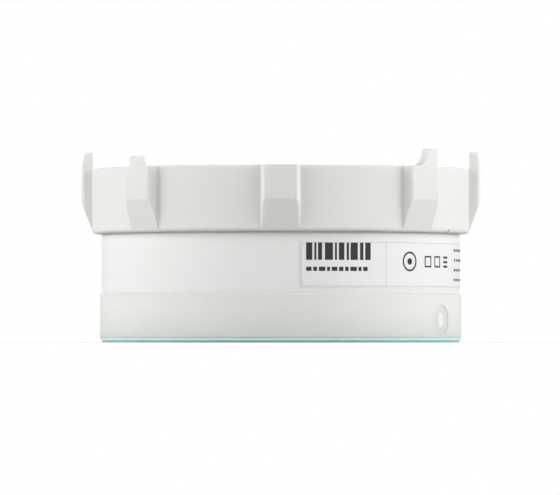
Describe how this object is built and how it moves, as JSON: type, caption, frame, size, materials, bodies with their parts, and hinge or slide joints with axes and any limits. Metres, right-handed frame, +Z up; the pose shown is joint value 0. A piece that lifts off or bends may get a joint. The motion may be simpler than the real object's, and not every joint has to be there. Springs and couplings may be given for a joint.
{
  "type": "radar level transmitter",
  "caption": "Round self-contained radar level sensor with an adhesive underside, a wrapped type label and a twist-off cap whose lugs guide a lashing strap.",
  "frame": {"origin": "centre of the underside, on the outer face of the release liner", "axes": "+Z up through the middle of the housing and the cap; -Y is the front, where the label begins; +X is to the right seen from the front"},
  "size_m": [0.098, 0.098, 0.0468],
  "materials": {
    "liner_film": "smooth release film",
    "adhesive_foam": "closed-cell acrylic foam",
    "base_plastic": "translucent moulded plastic",
    "housing_plastic": "satin moulded plastic",
    "cap_plastic": "satin moulded plastic",
    "label_foil": "semi-gloss printed foil",
    "seal_rubber": "moulded rubber",
    "gasket_rubber": "moulded silicone rubber",
    "vent_plastic": "moulded plastic",
    "membrane": "breathable membrane",
    "lens_plastic": "turned dielectric plastic",
    "horn_metal": "turned aluminium",
    "board_laminate": "solder-resist laminate",
    "chip_black": "moulded epoxy",
    "sheet_steel": "tinned sheet",
    "connector_plastic": "moulded plastic",
    "spacer_brass": "turned brass",
    "screw_steel": "zinc-plated steel",
    "capacitor_sleeve": "shrink sleeve",
    "patch_ceramic": "fired ceramic",
    "flex_copper": "copper on polyimide film",
    "tray_plastic": "moulded plastic",
    "cell_sleeve": "shrink sleeve",
    "contact_metal": "nickel-plated spring sheet"
  },
  "bodies": {
    "housing": {"release_liner": "liner_film", "adhesive_pad": "adhesive_foam", "base_shell": "base_plastic", "base_seal": "seal_rubber", "vent_plug": "vent_plastic", "vent_membrane": "membrane", "vent_seal": "seal_rubber", "housing_body": "housing_plastic", "type_label": "label_foil", "radar_lens": "lens_plastic", "antenna_horn": "horn_metal", "radar_board": "board_laminate", "radar_chip": "chip_black", "shield_can": "sheet_steel", "board_connector": "connector_plastic", "board_spacers": "spacer_brass", "main_board": "board_laminate", "board_screws": "screw_steel", "processor": "chip_black", "radio_module": "sheet_steel", "pulse_capacitor": "capacitor_sleeve", "gnss_antenna": "patch_ceramic", "radio_antenna": "flex_copper", "battery_tray": "tray_plastic", "tray_screws": "screw_steel", "battery_cell_1": "cell_sleeve", "battery_cell_2": "cell_sleeve", "plate_contacts": "contact_metal", "spring_contacts": "contact_metal", "nfc_coil": "flex_copper"},
    "gasket": {"cap_seal": "gasket_rubber"},
    "cap": {"closing_cap": "cap_plastic"}
  },
  "joints": [
    {"name": "cap_lift", "type": "slide", "parent": "housing", "child": "gasket", "axis": [0, 0, 1], "range_m": [0, 0.018]},
    {"name": "cap_turn", "type": "hinge", "parent": "gasket", "child": "cap", "pos_m": [0, 0, 0.0404], "axis": [0, 0, 1], "range_deg": [0, 720]}
  ],
  "couplings": [
    {"joint": "cap_lift", "follows": "cap_turn", "m_per_rad": 0.0014324}
  ]
}
